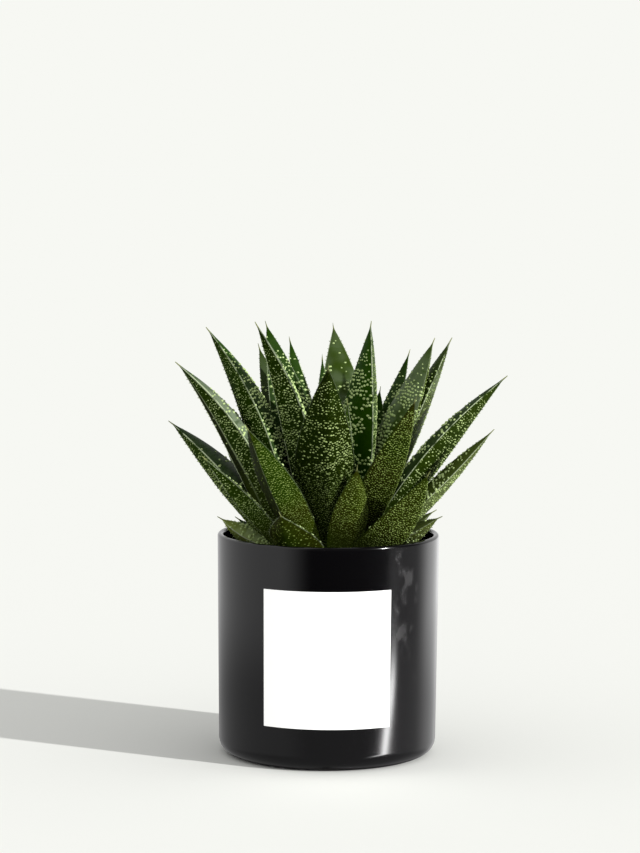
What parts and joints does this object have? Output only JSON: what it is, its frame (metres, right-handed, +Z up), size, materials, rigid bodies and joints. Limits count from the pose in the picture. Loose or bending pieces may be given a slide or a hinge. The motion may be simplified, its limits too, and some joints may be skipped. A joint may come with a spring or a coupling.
{
  "type": "potted gasteria plant",
  "caption": "Spotted gasteria succulent, a dense rosette of keeled, toothed, bristle-tipped leaves, in a straight glossy black pot with a plain white paper label.",
  "frame": {"origin": "centre of the pot's flat underside, on its axis", "axes": "+Z up along the pot's axis, -Y towards the side that carries the label, +X to its right as seen from the front"},
  "size_m": [0.1689, 0.1483, 0.2152],
  "materials": {
    "pot_glaze": "gloss black",
    "label_paper": "matt white",
    "potting_mix": "rough",
    "stem_tissue": "matt",
    "leaf_tissue": "satin, pale spots"
  },
  "bodies": {
    "root": {"pot": "pot_glaze", "label": "label_paper", "soil": "potting_mix", "stem": "stem_tissue", "leaf_heart_1": "leaf_tissue", "leaf_heart_2": "leaf_tissue", "leaf_heart_3": "leaf_tissue", "leaf_inner_1": "leaf_tissue", "leaf_middle_1": "leaf_tissue", "leaf_middle_2": "leaf_tissue", "leaf_middle_3": "leaf_tissue", "leaf_middle_4": "leaf_tissue", "leaf_middle_5": "leaf_tissue", "leaf_middle_6": "leaf_tissue", "leaf_middle_7": "leaf_tissue", "leaf_middle_8": "leaf_tissue", "leaf_middle_9": "leaf_tissue", "leaf_outer_1": "leaf_tissue", "leaf_outer_2": "leaf_tissue", "leaf_outer_3": "leaf_tissue", "leaf_outer_4": "leaf_tissue", "leaf_outer_5": "leaf_tissue", "leaf_outer_6": "leaf_tissue", "leaf_outer_7": "leaf_tissue", "leaf_outer_8": "leaf_tissue", "leaf_outer_9": "leaf_tissue", "leaf_low_1": "leaf_tissue", "leaf_low_2": "leaf_tissue", "leaf_low_3": "leaf_tissue", "leaf_low_4": "leaf_tissue", "leaf_low_5": "leaf_tissue", "leaf_low_6": "leaf_tissue", "leaf_low_7": "leaf_tissue", "leaf_low_8": "leaf_tissue", "leaf_low_9": "leaf_tissue", "leaf_low_10": "leaf_tissue", "leaf_low_11": "leaf_tissue", "leaf_low_12": "leaf_tissue", "leaf_low_13": "leaf_tissue", "leaf_low_14": "leaf_tissue", "leaf_low_15": "leaf_tissue", "leaf_low_16": "leaf_tissue"}
  },
  "joints": []
}
